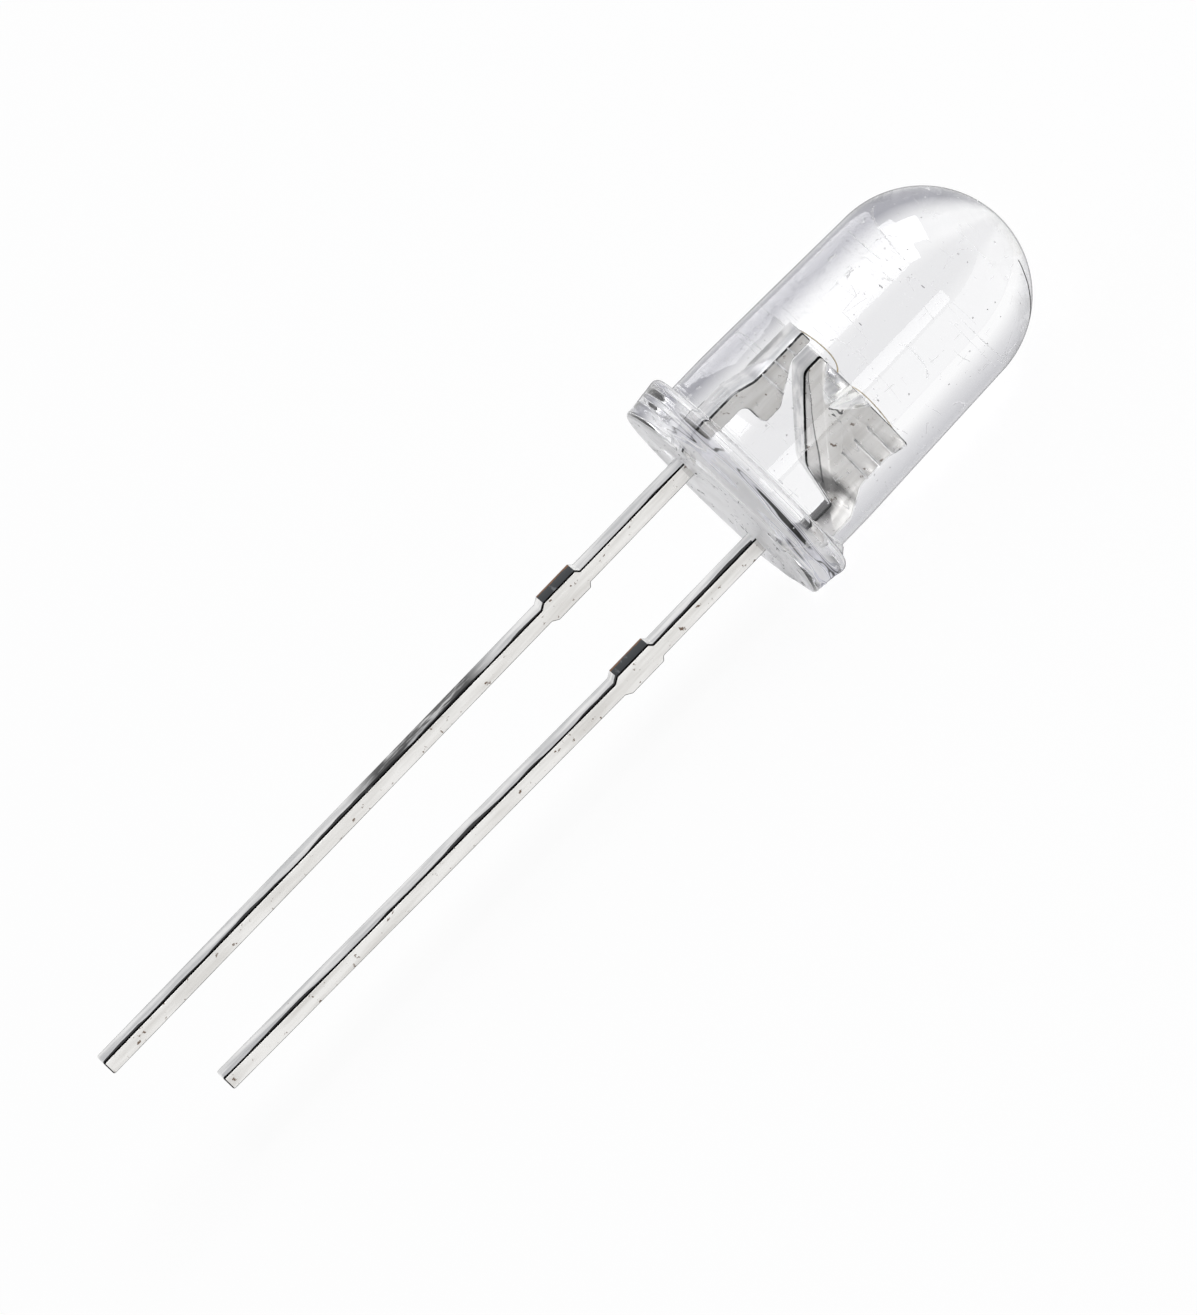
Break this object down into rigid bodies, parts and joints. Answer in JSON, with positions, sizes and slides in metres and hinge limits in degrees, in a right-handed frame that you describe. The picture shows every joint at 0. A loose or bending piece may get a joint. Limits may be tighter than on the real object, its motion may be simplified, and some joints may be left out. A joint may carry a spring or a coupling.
{
  "type": "through hole led",
  "caption": "Clear round-domed light emitting diode with a flanged base, a chip in a reflector cup and two square leads for soldering through a board.",
  "frame": {"origin": "on the diode's axis, in the plane of the seating ring under the flange", "axes": "+X along the axis towards the dome, -Z through the flat on the cathode side, both leads in the XZ plane"},
  "size_m": [0.0267, 0.0058, 0.0054],
  "materials": {
    "clear_epoxy": "clear cast epoxy, glossy",
    "tinned_lead": "tinned steel sheet, satin",
    "adhesive": "cured adhesive",
    "chip": "sapphire chip, polished",
    "gold": "gold"
  },
  "bodies": {
    "root": {"epoxy_lens": "clear_epoxy", "anode_lead": "tinned_lead", "cathode_lead": "tinned_lead", "die_attach": "adhesive", "led_die": "chip", "p_pad": "gold", "n_pad": "gold", "anode_wire": "gold", "cathode_wire": "gold"}
  },
  "joints": []
}
